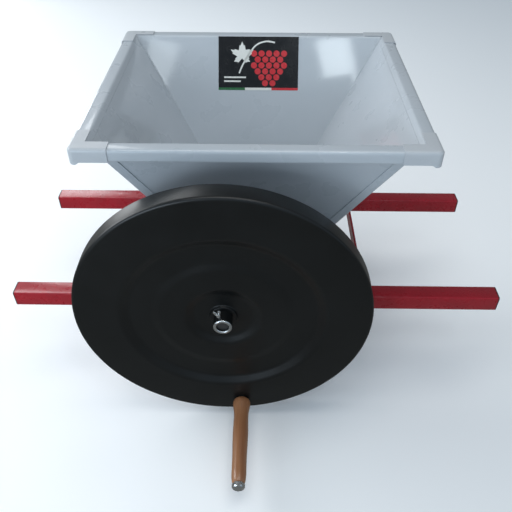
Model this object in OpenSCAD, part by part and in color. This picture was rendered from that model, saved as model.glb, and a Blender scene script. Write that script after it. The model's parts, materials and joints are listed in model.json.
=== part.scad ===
// Hand-cranked grape crusher and destemmer.
// Two carry bars rest across a vat. A hopper feeds two lobed rollers, and the crushed
// bunches drop into a perforated cage where a paddle shaft sends the stems out at the back.
// Origin: midway between the bars, in the plane of their undersides.
// +X right, +Y away from the flywheel, +Z up. All sizes in millimetres.

/* [Carry bars] */
// Length of each bar over its end plugs
bar_len = 900; // [800:10:1100]
// Side of the square tube
bar_side = 32; // [30:1:32]
// Distance between the bars' centre lines
bar_spacing = 306; // [306:1:310]
// Distance from the centre to each flat tie
tie_x = 203; // [170:1:300]

/* [Hopper] */
// Half width of the opening at the rim
hopper_half_w = 254; // [220:1:280]
// Front edge of the opening, measured towards the flywheel
hopper_front = 163; // [150:1:170]
// Rear edge of the opening
hopper_rear = 276; // [200:1:300]
// Height of the rim above the bars' undersides
hopper_top = 346; // [320:1:400]
// Width of the rolled rim
rim_w = 23; // [20:1:28]
// Height of the rolled rim
rim_h = 21; // [18:1:26]
// Length of each leg of a corner cover
corner_leg = 58; // [45:1:70]
// Half width of the mouth over the rollers
mouth_half_w = 90; // [88:1:92]
// Half length of the mouth along the rollers
mouth_half_l = 125; // [124:1:125]
// Sheet thickness of the hopper, level
sheet = 1.5; // [1:0.5:1.5]

/* [Rollers] */
// Height of the roller shafts
roller_z = 66.5; // [66:0.5:70]
// Largest diameter over the lobes
roller_d = 96; // [90:1:98]
// Depth of the valleys between the lobes
lobe_depth = 12; // [8:1:12]
// Lobes on each roller
lobe_count = 6; // [4:2:8]
// Length of each roller
roller_len = 240; // [200:5:240]
// Diameter of every shaft
shaft_d = 20; // [18:1:22]

/* [Gears] */
// Tooth module of the whole train
gear_module = 5; // [5:1:5]
// Teeth on each roller gear
roller_teeth = 21; // [21:2:21]
// Teeth on the idler
idler_teeth = 20; // [18:1:21]
// Teeth on the beater pinion
pinion_teeth = 14; // [13:1:15]
// Width of the gear teeth
gear_w = 20; // [15:1:22]

/* [Destemmer] */
// Height of the beater shaft, below the bars
beater_z = -95; // [-100:1:-95]
// Radius swept by the paddles
beater_r = 96; // [80:1:98]
// Inner radius of the perforated cage
cage_r = 104; // [100:1:104]
// Paddles along the beater
paddle_count = 12; // [8:1:14]
// Diameter of the cage's holes
cage_hole_d = 20; // [14:1:22]

/* [Flywheel] */
// Outer diameter
wheel_d = 503; // [440:1:510]
// Depth of the rim
wheel_depth = 36; // [30:1:40]
// Front face of the wheel, measured forwards from the middle of the machine
wheel_front = 264; // [262:1:270]
// Radius of the crank pin
crank_r = 224.5; // [200:0.5:230]
// Angle of the crank from straight down, towards +X
crank_angle = 7.2; // [0:0.1:45]
// Length of the wooden grip
grip_len = 169; // [120:1:180]

/* [Hidden] */
$fn = 64;
fit = 0.05;
wall = 4;
plate = 2;
eps = 0.5;

// Sizes of hexagon bolts and nuts as shares of their diameter
head_share = 0.65;
flats_share = 1.65;
nut_share = 0.8;

// Wing screws as shares of their diameter: boss, wing thickness and the middle line of a wing
wing_boss = 1.25;
wing_t = 0.4;
wing_line = [[0.3, 0.7], [0.75, 2.1]];

bar_wall = 2;
bar_y = bar_spacing / 2;
bar_in = bar_y - bar_side / 2;
bar_out = bar_y + bar_side / 2;
cap_flange = 2;
cap_depth = 22;
cap_gap = 0.15;
tie_t = 4;
tie_h = 25;

roller_x = gear_module * roller_teeth / 2;
rim_r = 5;
rim_lip = 8;
flange_w = 18;
mouth_z = 110;
foot_w = 26;
foot_t = 3;
corner_gap = 0.2;
corner_t = 1.2;
corner_drop = 4;
corner_ear = 13;
corner_round = 8;
label_w = 166;
label_h = 107.5;
label_t = 0.3;
label_gap = 0.05;
label_down = 1.5;

ear_x = 156;
body_bolt_x = 142;
body_bolt_d = 8;
body_bolt_hole = 9;
side_x = 106;
plate_top = mouth_z - foot_t;
exit_r = 92;
exit_top = -20;
foot_bolt_x = 50;
foot_bolt_y = bar_in + 9;
foot_bolt_d = 6;
foot_bolt_hole = 6.6;
foot_bolt_len = 12;

gear_plate_y = -bar_out - wall;
gear_gap = 12;
gear_y = gear_plate_y - gear_gap;
guard_gap = 6;
guard_y = gear_y - gear_w - guard_gap;
guard_r = 64;
guard_lip = 10;
guard_t = 1.5;
backlash = 0.3;
pressure_angle = 25;
gear_hub_r = 18;
gear_hub_front = 2;
gear_hub_rear = 3;
gear_hub_back = 10;
idler_axle_d = 16;
idler_bush_d = idler_axle_d + 6;
idler_head_gap = 0.2;
idler_head_t = 2;
idler_head_y = gear_y - gear_w - gear_hub_front - idler_head_t - idler_head_gap;
wheel_x = -roller_x;
wheel_web = 5;
wheel_edge_r = 6;
wheel_boss_r = 34;
wheel_ribs = 8;
wheel_rib_t = 5;
wheel_rib_back = 3;
wheel_hub_r = 16;
hub_front = wheel_front + 16;
hub_back = 213;
shaft_front = hub_front - 4.5;
wing_y = -(wheel_front + 7.5);
wing_tilt = 18;
wing_d = 6;
wing_len = 11;
wing_lift = 2;
crank_x = wheel_x + crank_r * sin(crank_angle);
crank_z = roller_z - crank_r * cos(crank_angle);
crank_bolt_d = 12;
crank_thread_d = 10;
crank_thread_len = 20;
crank_washer_t = 1;
crank_washer_d = 20;
grip_gap = 1.5;
grip_back = -(wheel_front + grip_gap);
grip_front = grip_back - grip_len;
grip_bush_d = 15;
shaft_rear = bar_in + 21;
beater_front = gear_y - gear_w - 3;
beater_rear = bar_in + 15;
gear_axle_rear = 14;
bush_od = 28;
bush_flange_d = 38;
bush_flange_t = 4;
bush_len = 12;
collar_d = 34;
collar_w = 9;
pin_d = 6;
roller_hub_end = 8.5;
roller_pin_y = [-108, 108];
gear_pin_y = gear_y + 5;
paddle_d = 8;
paddle_step = 75;
paddle_phase = 15;
paddle_first = -112;
paddle_last = 100;
blade_w = 30;
blade_t = 4;
blade_twist = 25;
blade_inset = 20;
cage_t = 2;
cage_lip = 30;
cage_screw_y = [-80, 80];
cage_screw_up = 16;
cage_screw_d = 6;
cage_rows = 8;
cage_pitch = 31;
cage_angles = [for (i = [0:6]) -157.5 + i * 22.5];
strap_w = 40;
strap_t = 6;
strap_screw_z = [-11, beater_z - 98.5];
strap_end_r = 103.5;
chute_len = 120;
chute_t = 1.5;
chute_lip = 14;
chute_screw_at = [-150, -115, -65, -30];
chute_screw_r = 100.5;
chute_notch = 20;
small_screw_d = 5;

// Idler centre, from the two centre distances of its meshes
idler_to_drive = gear_module * (roller_teeth + idler_teeth) / 2;
idler_to_pinion = gear_module * (pinion_teeth + idler_teeth) / 2;
span_x = roller_x;
span_z = beater_z - roller_z;
span = sqrt(span_x * span_x + span_z * span_z);
along = (idler_to_drive ^ 2 - idler_to_pinion ^ 2 + span * span) / (2 * span);
aside = sqrt(idler_to_drive ^ 2 - along * along);
idler_x = -roller_x + along * span_x / span + aside * span_z / span;
idler_z = roller_z + along * span_z / span - aside * span_x / span;

// Angles of one tooth of each gear, so that the teeth mesh at rest
drive_to_idler = atan2(idler_z - roller_z, idler_x + roller_x);
idler_to_beater = atan2(beater_z - idler_z, -idler_x);
drive_phase = 0;
driven_phase = meshed(0, roller_teeth, drive_phase, roller_teeth);
idler_phase = meshed(drive_to_idler, roller_teeth, drive_phase, idler_teeth);
pinion_phase = meshed(idler_to_beater, idler_teeth, idler_phase, pinion_teeth);

// Front surface of the wheel: radius and depth behind the front face
wheel_face = [[22.5, 8], [24, 13], [51, 13], [66, 6], [108, 6], [122, 9], [159, 9], [175, 0]];
wheel_boss_depth = wheel_face[2][1];

// Section of the grip: distance from its wheel end and radius
grip_curve = [[0, 12.5], [2.5, 15], [9, 16.6], [18, 15.6], [38, 13.6], [68, 14.2], [104, 13.4],
    [136, 12.9], [150, 13], [160, 12.2], [166, 11], [168, 10.2]];

// ---------- shared shapes ----------

// Extrudes a flat shape drawn in X and Z from y0 to y1
module slab(y0, y1) {
    translate([0, y1, 0]) rotate([90, 0, 0]) linear_extrude(height = y1 - y0) children();
}

// Round bar along Y
module bar_along_y(x, z, y0, y1, d) {
    slab(y0, y1) translate([x, z]) circle(d = d);
}

// Ring along Y
module ring_along_y(x, z, y0, y1, d_out, d_in) {
    slab(y0, y1) translate([x, z]) difference() {
        circle(d = d_out);
        circle(d = d_in);
    }
}

// Hexagon across flats
module hex(flats) {
    circle(d = flats / cos(30), $fn = 6);
}

// Hexagon bolt along +Y from its bearing face at y0, with its head before y0
module bolt_along_y(x, z, y0, len, d) {
    slab(y0 - head_share * d, y0) translate([x, z]) hex(flats_share * d);
    bar_along_y(x, z, y0 - eps, y0 + len, d);
}

// Nut along Y with its thread as a plain hole
module nut_along_y(x, z, y0, d) {
    slab(y0, y0 + nut_share * d) translate([x, z]) difference() {
        hex(flats_share * d);
        circle(d = d);
    }
}

// Points along an arc from angle a0 to a1, one every few degrees
function arc(c, r, a0, a1) = let (steps = ceil((a1 - a0) / 7.5))
    [for (k = [0:steps]) c + turned(r, a0 + (a1 - a0) * k / steps)];

// Convex outline at the distance r around points that run counter-clockwise
module around(points, r) {
    n = len(points);
    function heading(i) = let (p = points[i % n], q = points[(i + 1) % n]) atan2(q[1] - p[1], q[0] - p[0]);
    polygon([for (i = [0:n - 1])
        let (from = heading(i + n - 1) - 90, turn = (heading(i) - 90 - from + 720) % 360)
        each arc(points[i], r, from, from + turn)]);
}

// Outline around all four shafts of the gear train, grown by r
module train_outline(r) {
    around([[-roller_x, roller_z], [idler_x, idler_z], [0, beater_z], [roller_x, roller_z]], r);
}

// ---------- gears ----------

// Involute: distance from the centre and turned angle, at roll angle t in degrees
function inv_angle(base, r) = tan(acos(base / r)) * 180 / PI - acos(base / r);

// One flank, as [radius, half angle of the tooth] from root to tip
function flank(teeth, steps) =
    let (
        pitch = gear_module * teeth / 2,
        base = pitch * cos(pressure_angle),
        low = max(base, pitch - 1.1 * gear_module),
        tip = pitch + 0.9 * gear_module,
        half = 90 / teeth - backlash / 4 / pitch * 180 / PI
    )
    [for (i = [0:steps]) let (r = low + (tip - low) * i / steps)
        [r, half + inv_angle(base, pitch) - inv_angle(base, r)]];

function turned(r, a) = [r * cos(a), r * sin(a)];

// Outline of a spur gear with one tooth centred on the angle phase
module gear_outline(teeth, phase) {
    pitch = gear_module * teeth / 2;
    root = pitch - 1.25 * gear_module;
    side = flank(teeth, 4);
    last = len(side) - 1;
    gap = 180 / teeth;
    polygon([for (i = [0:teeth - 1]) let (a = phase + i * 360 / teeth) each concat(
        [turned(root, a - gap), turned(root, a - side[0][1] * 1.02)],
        [for (s = side) turned(s[0], a - s[1])],
        [for (k = [0:last]) turned(side[last - k][0], a + side[last - k][1])],
        [turned(root, a + side[0][1] * 1.02)])]);
}

// Gear with a hub, a bore and the hole of its cross pin
module gear(x, z, teeth, phase, bore_d) {
    difference() {
        union() {
            slab(gear_y - gear_w, gear_y) translate([x, z]) gear_outline(teeth, phase);
            slab(gear_y - gear_w - gear_hub_front, gear_y + gear_hub_rear)
                translate([x, z]) circle(r = gear_hub_r);
        }
        bar_along_y(x, z, gear_y - gear_w - 3, gear_y + 4, bore_d);
    }
}

// Phase of the second gear of a mesh, for centres along the angle a
function meshed(a, teeth1, phase1, teeth2) =
    a + 180 + 180 / teeth2 + (a - phase1) * teeth1 / teeth2;

// ---------- frame ----------

module carry_bar(y) {
    difference() {
        translate([-bar_len / 2 + cap_flange, y - bar_side / 2, 0])
            cube([bar_len - 2 * cap_flange, bar_side, bar_side]);
        translate([-bar_len / 2, y - bar_side / 2 + bar_wall, bar_wall])
            cube([bar_len, bar_side - 2 * bar_wall, bar_side - 2 * bar_wall]);
        for (x = [-body_bolt_x, body_bolt_x])
            bar_along_y(x, bar_side / 2, y - bar_side, y + bar_side, body_bolt_hole);
    }
}

module front_bar() {
    color("crimson") carry_bar(-bar_y);
}

module rear_bar() {
    color("crimson") carry_bar(bar_y);
}

// Plug with a flange over the tube's end and a body inside it
module end_plug(y) {
    inside = bar_side - 2 * bar_wall - 2 * cap_gap;
    translate([bar_len / 2 - cap_flange, y - bar_side / 2, 0]) cube([cap_flange, bar_side, bar_side]);
    translate([bar_len / 2 - cap_depth, y - inside / 2, (bar_side - inside) / 2])
        cube([cap_depth - cap_flange + eps, inside, inside]);
}

module bar_end_plugs() {
    color("dimgray") for (y = [-bar_y, bar_y], side = [0, 1]) mirror([side, 0, 0]) end_plug(y);
}

module tie(x) {
    translate([x - tie_t / 2, -bar_in, (bar_side - tie_h) / 2]) cube([tie_t, 2 * bar_in, tie_h]);
}

module left_tie() {
    color("crimson") tie(-tie_x);
}

module right_tie() {
    color("crimson") tie(tie_x);
}

// Outline of an end plate: ears at the bars, body above, round bottom below
module end_plate_outline() {
    body = side_x + 2 * plate;
    translate([-ear_x, 0]) square([2 * ear_x, bar_side]);
    translate([-body, beater_z]) square([2 * body, plate_top - beater_z]);
    translate([0, beater_z]) circle(r = body);
}

module end_plate_holes() {
    for (x = [-body_bolt_x, body_bolt_x]) translate([x, bar_side / 2]) circle(d = body_bolt_hole);
    for (x = [-roller_x, roller_x]) translate([x, roller_z]) circle(d = bush_od);
}

// Flange at the top of an end plate, turned outwards under the hopper's foot
module top_flange(y_near, y_far) {
    difference() {
        translate([-mouth_half_w, min(y_near, y_far), plate_top])
            cube([2 * mouth_half_w, abs(y_far - y_near), foot_t]);
        for (x = [-foot_bolt_x, foot_bolt_x])
            translate([x, sign(y_near) * foot_bolt_y, plate_top - 1])
                cylinder(d = foot_bolt_hole, h = foot_t + 2);
    }
}

module front_end_plate() {
    color("lightgray") {
        slab(-bar_in, -bar_in + wall) difference() {
            end_plate_outline();
            end_plate_holes();
            translate([0, beater_z]) circle(d = bush_od);
        }
        top_flange(-bar_in + wall, -bar_in - foot_w + wall);
    }
}

module rear_end_plate() {
    color("lightgray") {
        slab(bar_in - wall, bar_in) difference() {
            end_plate_outline();
            end_plate_holes();
            translate([0, beater_z]) circle(r = exit_r);
            translate([-exit_r, beater_z]) square([2 * exit_r, exit_top - beater_z]);
            for (z = strap_screw_z) translate([0, z]) circle(d = small_screw_d);
            for (p = chute_screw_points()) translate(p) circle(d = small_screw_d);
        }
        top_flange(bar_in - wall, bar_in + foot_w - wall);
    }
}

module side_plate(side) {
    difference() {
        translate([side > 0 ? side_x : -side_x - plate, -bar_in + wall, beater_z])
            cube([plate, 2 * (bar_in - wall), mouth_z - beater_z]);
        for (y = cage_screw_y) translate([side * (side_x - 5), y, beater_z + cage_screw_up])
            rotate([0, side * 90, 0]) cylinder(d = cage_screw_d, h = 12);
    }
}

module left_side_plate() {
    color("lightgray") side_plate(-1);
}

module right_side_plate() {
    color("lightgray") side_plate(1);
}

module body_bolts() {
    color("silver") for (x = [-body_bolt_x, body_bolt_x]) {
        bolt_along_y(x, bar_side / 2, -bar_out - wall, bar_side + 2 * wall + 9, body_bolt_d);
        mirror([0, 1, 0]) bolt_along_y(x, bar_side / 2, -bar_out, bar_side + wall + 9, body_bolt_d);
    }
}

module body_nuts() {
    color("silver") for (x = [-body_bolt_x, body_bolt_x], s = [0, 1])
        mirror([0, s, 0]) nut_along_y(x, bar_side / 2, -bar_in + wall, body_bolt_d);
}

// ---------- hopper ----------

// Solid inside the hopper, grown level by side at the left and right and by ends at the
// front and rear, and carried past the mouth and the rim by the share over of its height
module frustum(side, ends, over = 0) {
    function at(low, high, t) = low + (high - low) * t;
    function ring(t) = let (
            x = at(mouth_half_w, hopper_half_w, t) + side,
            front = at(mouth_half_l, hopper_front, t) + ends,
            rear = at(mouth_half_l, hopper_rear, t) + ends,
            z = at(mouth_z, hopper_top, t)
        ) [[-x, -front, z], [x, -front, z], [x, rear, z], [-x, rear, z]];
    polyhedron(
        points = concat(ring(-over), ring(1 + over)),
        faces = [[0, 1, 2, 3], [7, 6, 5, 4], [4, 5, 1, 0], [5, 6, 2, 1], [6, 7, 3, 2], [7, 4, 0, 3]]);
}

// Half space picked by direction, big enough for the hopper
module half(dir) {
    big = 700;
    translate([dir[0] * big, dir[1] * big, 0]) cube(2 * big, center = true);
}

// Section of the rolled rim: u outwards from the opening, v upwards from the rim's underside
module rim_section() {
    module box(u0, u1, v0, v1, r) {
        translate([u0, v0 + r]) square([u1 - u0, v1 - v0 - 2 * r]);
        translate([u0, v0]) square([u1 - u0 - r, v1 - v0]);
        for (v = [v0 + r, v1 - r]) translate([u1 - r, v]) circle(r = r);
    }
    difference() {
        box(0, rim_w, 0, rim_h, rim_r);
        box(-1, rim_w - sheet, sheet, rim_h - sheet, rim_r - sheet);
        translate([-1, -1]) square([rim_w - rim_lip + 1, rim_h - sheet + 1]);
    }
}

// Sloping sheet between the side walls, with its rim and its foot, at the front (-1) or rear (1)
module end_wall(dir) {
    opening = dir < 0 ? hopper_front : hopper_rear;
    foot_half = mouth_half_w - flange_w - 2;
    intersection() {
        difference() {
            frustum(0, sheet);
            frustum(sheet * 3, 0, 0.02);
        }
        half([0, dir]);
    }
    translate([-hopper_half_w, dir * opening, hopper_top - rim_h])
        mirror([0, dir < 0 ? 1 : 0, 0]) rotate([90, 0, 90]) linear_extrude(height = 2 * hopper_half_w)
        rim_section();
    difference() {
        translate([-foot_half, dir > 0 ? mouth_half_l + sheet / 2 : -bar_in - foot_w + wall, mouth_z])
            cube([2 * foot_half, bar_in + foot_w - wall - mouth_half_l - sheet / 2, sheet]);
        for (x = [-foot_bolt_x, foot_bolt_x])
            translate([x, dir * foot_bolt_y, mouth_z - 1]) cylinder(d = foot_bolt_hole, h = sheet + 2);
    }
}

// Sloping sheet at the left (-1) or right (1), lapped round the end walls' outer faces
module side_wall(dir) {
    difference() {
        intersection() {
            difference() {
                frustum(sheet, 2 * sheet);
                frustum(0, sheet, 0.02);
                frustum(-flange_w, 5 * sheet, 0.02);
            }
            half([dir, 0]);
        }
        for (y = [-hopper_front - rim_w, hopper_rear])
            translate([-hopper_half_w - rim_w, y, hopper_top - 2 * sheet])
                cube([2 * (hopper_half_w + rim_w), rim_w, rim_h]);
    }
    mirror([dir < 0 ? 1 : 0, 0, 0]) {
        slab(-hopper_front, hopper_rear)
            translate([hopper_half_w, hopper_top - rim_h]) rim_section();
        translate([mouth_half_w + sheet / 2, -mouth_half_l + 1, mouth_z])
            cube([side_x + plate - mouth_half_w - sheet / 2, 2 * mouth_half_l - 2, sheet]);
    }
}

module hopper_front_wall() {
    color("gainsboro") end_wall(-1);
}

module hopper_rear_wall() {
    color("gainsboro") end_wall(1);
}

module hopper_left_wall() {
    color("gainsboro") side_wall(-1);
}

module hopper_right_wall() {
    color("gainsboro") side_wall(1);
}

// Outline of a cover whose outer corner is at the origin, grown outwards by out
module corner_outline(out) {
    difference() {
        translate([-corner_leg, -corner_leg]) square([corner_leg + out, corner_leg + out]);
        translate([-corner_leg - 1, -corner_leg - 1]) square(corner_leg - rim_w + 1);
        rounded_off(out, corner_round);
    }
}

// What rounding takes off an outer corner at the origin grown by out
module rounded_off(out, r) {
    difference() {
        translate([out - r, out - r]) square(r + 1);
        translate([out - r, out - r]) circle(r = r);
    }
}

// Skirt of a cover down to the depth, as far as reach along each leg
module corner_skirt(reach, depth) {
    translate([0, 0, -depth]) linear_extrude(height = depth + corner_gap + corner_t / 2)
        intersection() {
            difference() {
                corner_outline(corner_gap + corner_t);
                difference() {
                    translate([-2 * corner_leg, -2 * corner_leg]) square(2 * corner_leg + corner_gap);
                    rounded_off(corner_gap, corner_round - corner_t);
                }
            }
            translate([-reach, -reach]) square(2 * reach);
        }
}

module corner_cover() {
    translate([0, 0, corner_gap]) linear_extrude(height = corner_t) corner_outline(corner_gap + corner_t);
    corner_skirt(corner_leg, rim_h);
    corner_skirt(corner_ear, rim_h + corner_drop);
}

module hopper_corner_covers() {
    color("lightgray") for (sx = [0, 1], sy = [0, 1]) mirror([sx, 0, 0])
        translate([hopper_half_w + rim_w, sy > 0 ? -hopper_front - rim_w : hopper_rear + rim_w, hopper_top])
        mirror([0, sy, 0]) corner_cover();
}

module hopper_bolts() {
    color("silver") for (x = [-foot_bolt_x, foot_bolt_x], y = [-foot_bolt_y, foot_bolt_y])
        translate([x, y, mouth_z + sheet]) {
            linear_extrude(height = head_share * foot_bolt_d) hex(flats_share * foot_bolt_d);
            translate([0, 0, -foot_bolt_len]) cylinder(d = foot_bolt_d, h = foot_bolt_len + eps);
        }
}

module hopper_nuts() {
    height = nut_share * foot_bolt_d;
    color("silver") for (x = [-foot_bolt_x, foot_bolt_x], y = [-foot_bolt_y, foot_bolt_y])
        translate([x, y, plate_top - height]) linear_extrude(height = height) difference() {
            hex(flats_share * foot_bolt_d);
            circle(d = foot_bolt_d);
        }
}

module label() {
    slope = atan((hopper_rear - mouth_half_l) / (hopper_top - mouth_z));
    color("black") translate([0, hopper_rear, hopper_top]) rotate([-slope, 0, 0])
        translate([-label_w / 2, -label_t - label_gap, -label_down - label_h])
        cube([label_w, label_t, label_h]);
}

// ---------- bearings ----------

// Flanged bush whose flange lies against the plate face y, with its body towards dir
module bush(x, z, y, dir) {
    mirror([0, dir < 0 ? 1 : 0, 0]) {
        ring_along_y(x, z, dir * y - bush_flange_t, dir * y, bush_flange_d, shaft_d + 2 * fit);
        ring_along_y(x, z, dir * y, dir * y + bush_len, bush_od, shaft_d + 2 * fit);
    }
}

module roller_bushes() {
    color("ivory") for (x = [-roller_x, roller_x], dir = [-1, 1])
        bush(x, roller_z, dir * (bar_in - wall), dir);
}

module beater_bushes() {
    color("ivory") {
        bush(0, beater_z, -bar_in + wall, -1);
        bush(0, beater_z, bar_in - wall - strap_t, 1);
    }
}

module flywheel_bush() {
    color("ivory") {
        ring_along_y(-roller_x, roller_z, -bar_out, -bar_out + bush_flange_t, bush_flange_d,
            shaft_d + 2 * fit);
        ring_along_y(-roller_x, roller_z, gear_plate_y - 1, -bar_out, bush_od, shaft_d + 2 * fit);
    }
}

// ---------- gear case ----------

function guard_screw_points() = [
    [-roller_x, roller_z] + turned(guard_r + guard_lip / 2, 110),
    [roller_x, roller_z] + turned(guard_r + guard_lip / 2, 30),
    [0, beater_z] + turned(guard_r + guard_lip / 2, -70),
    [idler_x, idler_z] + turned(guard_r + guard_lip / 2, 190)];

module gear_plate() {
    color("lightgray") slab(gear_plate_y, gear_plate_y + wall) difference() {
        union() {
            train_outline(guard_r + guard_lip);
            translate([-ear_x, 0]) square([2 * ear_x, bar_side]);
        }
        for (x = [-body_bolt_x, body_bolt_x]) translate([x, bar_side / 2]) circle(d = body_bolt_hole);
        translate([-roller_x, roller_z]) circle(d = bush_od);
        translate([roller_x, roller_z]) circle(d = shaft_d + 4);
        translate([0, beater_z]) circle(d = shaft_d + 4);
        translate([idler_x, idler_z]) circle(d = idler_axle_d);
        for (p = guard_screw_points()) translate(p) circle(d = small_screw_d);
    }
}

module gear_guard() {
    color("gainsboro") {
        slab(guard_y, guard_y + guard_t) difference() {
            train_outline(guard_r);
            translate([-roller_x, roller_z]) circle(d = shaft_d + 4);
        }
        slab(guard_y + guard_t - 0.01, gear_plate_y) difference() {
            train_outline(guard_r);
            train_outline(guard_r - guard_t);
        }
        slab(gear_plate_y - guard_t, gear_plate_y) difference() {
            train_outline(guard_r + guard_lip);
            train_outline(guard_r - guard_t);
            for (p = guard_screw_points()) translate(p) circle(d = small_screw_d);
        }
    }
}

module guard_screws() {
    color("silver") for (p = guard_screw_points())
        bolt_along_y(p[0], p[1], gear_plate_y - guard_t, guard_t + wall, small_screw_d);
}

module idler_axle() {
    color("silver") {
        bar_along_y(idler_x, idler_z, idler_head_y, idler_head_y + idler_head_t, idler_bush_d);
        bar_along_y(idler_x, idler_z, idler_head_y + eps, gear_plate_y + wall + gear_axle_rear,
            idler_axle_d);
    }
}

module idler_axle_nut() {
    color("silver") nut_along_y(idler_x, idler_z, gear_plate_y + wall, idler_axle_d);
}

// ---------- destemmer ----------

module destemmer_cage() {
    outer = cage_r + cage_t;
    color("silver") difference() {
        slab(-bar_in + wall, bar_in - wall) difference() {
            union() {
                translate([0, beater_z]) circle(r = outer);
                translate([-outer, beater_z]) square([2 * outer, cage_lip]);
            }
            translate([0, beater_z]) circle(r = cage_r);
            translate([-cage_r, beater_z]) square([2 * cage_r, outer + 1]);
        }
        for (a = cage_angles, i = [0:cage_rows - 1])
            translate([0, (i - (cage_rows - 1) / 2) * cage_pitch, beater_z]) rotate([0, 90 - a, 0])
                translate([0, 0, cage_r - cage_t]) cylinder(d = cage_hole_d, h = 3 * cage_t);
        for (y = cage_screw_y) translate([-outer - 1, y, beater_z + cage_screw_up])
            rotate([0, 90, 0]) cylinder(d = cage_screw_d, h = 2 * outer + 2);
    }
}

// Wing screw along Z, with its bearing face at the origin and its shank below
module wing_screw(d, len) {
    translate([0, 0, -len]) cylinder(d = d, h = len + eps);
    cylinder(d = wing_boss * d, h = wing_boss * d);
    rotate([90, 0, 0]) translate([0, 0, -wing_t * d / 2]) linear_extrude(height = wing_t * d)
        for (s = [-1, 1]) around([for (p = wing_line) [s * p[0], p[1]] * d], wing_t * d);
}

module cage_wing_screws() {
    color("silver") for (side = [0, 1], y = cage_screw_y) mirror([side, 0, 0])
        translate([side_x + plate, y, beater_z + cage_screw_up]) rotate([0, 90, 0])
        wing_screw(cage_screw_d, plate + cage_t);
}

module rear_bearing_strap() {
    bottom = beater_z - strap_end_r;
    color("lightgray") slab(bar_in - wall - strap_t, bar_in - wall) difference() {
        intersection() {
            translate([-strap_w / 2, bottom]) square([strap_w, -bottom - 2]);
            union() {
                translate([0, beater_z]) circle(r = strap_end_r);
                translate([-strap_w / 2, beater_z]) square([strap_w, strap_end_r]);
            }
        }
        translate([0, beater_z]) circle(d = bush_od);
        for (z = strap_screw_z) translate([0, z]) circle(d = small_screw_d);
    }
}

module strap_screws() {
    color("silver") for (z = strap_screw_z)
        bolt_along_y(0, z, bar_in - wall - strap_t, strap_t + wall, small_screw_d);
}

function chute_screw_points() = [for (a = chute_screw_at) [0, beater_z] + turned(chute_screw_r, a)];

module stem_chute() {
    color("gainsboro") {
        slab(bar_in, bar_in + chute_len) difference() {
            union() {
                translate([0, beater_z]) circle(r = exit_r + chute_t);
                translate([-exit_r - chute_t, beater_z]) square([2 * (exit_r + chute_t), cage_lip]);
            }
            translate([0, beater_z]) circle(r = exit_r);
            translate([-exit_r, beater_z]) square([2 * exit_r, exit_r + chute_t]);
        }
        slab(bar_in, bar_in + chute_t) difference() {
            translate([0, beater_z]) circle(r = exit_r + chute_lip);
            translate([0, beater_z]) circle(r = exit_r + 0.5);
            translate([-2 * exit_r, beater_z]) square(4 * exit_r);
            translate([-chute_notch / 2, beater_z - 2 * exit_r]) square([chute_notch, 2 * exit_r]);
            for (p = chute_screw_points()) translate(p) circle(d = small_screw_d);
        }
    }
}

module chute_screws() {
    color("silver") mirror([0, 1, 0]) for (p = chute_screw_points())
        bolt_along_y(p[0], p[1], -bar_in - chute_t, chute_t + wall, small_screw_d);
}

// ---------- flywheel and drive shaft ----------

// Outline of the wheel's section in front of its back plane, r across and front face at 0
module wheel_front_outline(back) {
    R = wheel_d / 2;
    polygon(concat(
        [[wheel_hub_r, -back], [wheel_hub_r, -wheel_face[0][1]]],
        [for (p = wheel_face) [p[0], -p[1]]],
        [for (i = [0:6]) [R - wheel_edge_r, -wheel_edge_r] + turned(wheel_edge_r, 90 - 15 * i)],
        [[R, -back]]));
}

// What is taken out of the wheel from behind, so that a web is left
module wheel_back_outline() {
    inner = wheel_d / 2 - wheel_web;
    polygon(concat(
        [[wheel_boss_r, -wheel_depth - 1], [wheel_boss_r, -wheel_boss_depth - wheel_web]],
        [for (p = wheel_face) if (p[0] > wheel_boss_r) [p[0] - 1, -p[1] - wheel_web]],
        [[inner, -wheel_web], [inner, -wheel_depth - 1]]));
}

module wheel_rib() {
    inner = wheel_boss_r - 2;
    translate([inner, -wheel_rib_t / 2, -wheel_depth])
        cube([wheel_d / 2 - wheel_web + 2 - inner, wheel_rib_t, wheel_depth]);
}

module flywheel() {
    color([0.08, 0.08, 0.08]) difference() {
        translate([wheel_x, -wheel_front, roller_z]) rotate([90, 0, 0]) {
            rotate_extrude($fn = 128) difference() {
                wheel_front_outline(wheel_depth);
                wheel_back_outline();
            }
            intersection() {
                rotate_extrude($fn = 128) wheel_front_outline(wheel_depth - wheel_rib_back);
                for (i = [0:wheel_ribs - 1]) rotate((i + 0.5) * 360 / wheel_ribs) wheel_rib();
            }
        }
        bar_along_y(crank_x, crank_z, -wheel_front - 1, -wheel_front + wheel_depth, crank_thread_d);
    }
}

// Moves to the wing bolt's seat above the hub, its axis tilted sideways
module at_wing() {
    translate([wheel_x, wing_y, roller_z]) rotate([0, -wing_tilt, 0])
        translate([0, 0, wheel_hub_r + wing_lift]) children();
}

module flywheel_hub() {
    color("silver") difference() {
        bar_along_y(wheel_x, roller_z, -hub_front, -hub_back, 2 * wheel_hub_r);
        bar_along_y(wheel_x, roller_z, -hub_front - 1, -hub_back + 1, shaft_d);
        at_wing() translate([0, 0, -wheel_hub_r - wing_lift]) cylinder(d = wing_d, h = 2 * wheel_hub_r);
    }
}

module wing_bolt() {
    color("silver") difference() {
        at_wing() wing_screw(wing_d, wing_len);
        bar_along_y(wheel_x, roller_z, -hub_front, -hub_back, shaft_d);
    }
}

module cross_pins(x, z, ys, len) {
    for (y = ys) translate([x, y, z - len / 2]) cylinder(d = pin_d, h = len);
}

module roller_pins(x) {
    cross_pins(x, roller_z, roller_pin_y, roller_d - 2 * lobe_depth - 2);
    cross_pins(x, roller_z, [gear_pin_y], 2 * gear_hub_r);
}

module shaft(x, z, y0, y1) {
    bar_along_y(x, z, y0, y1, shaft_d);
}

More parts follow.
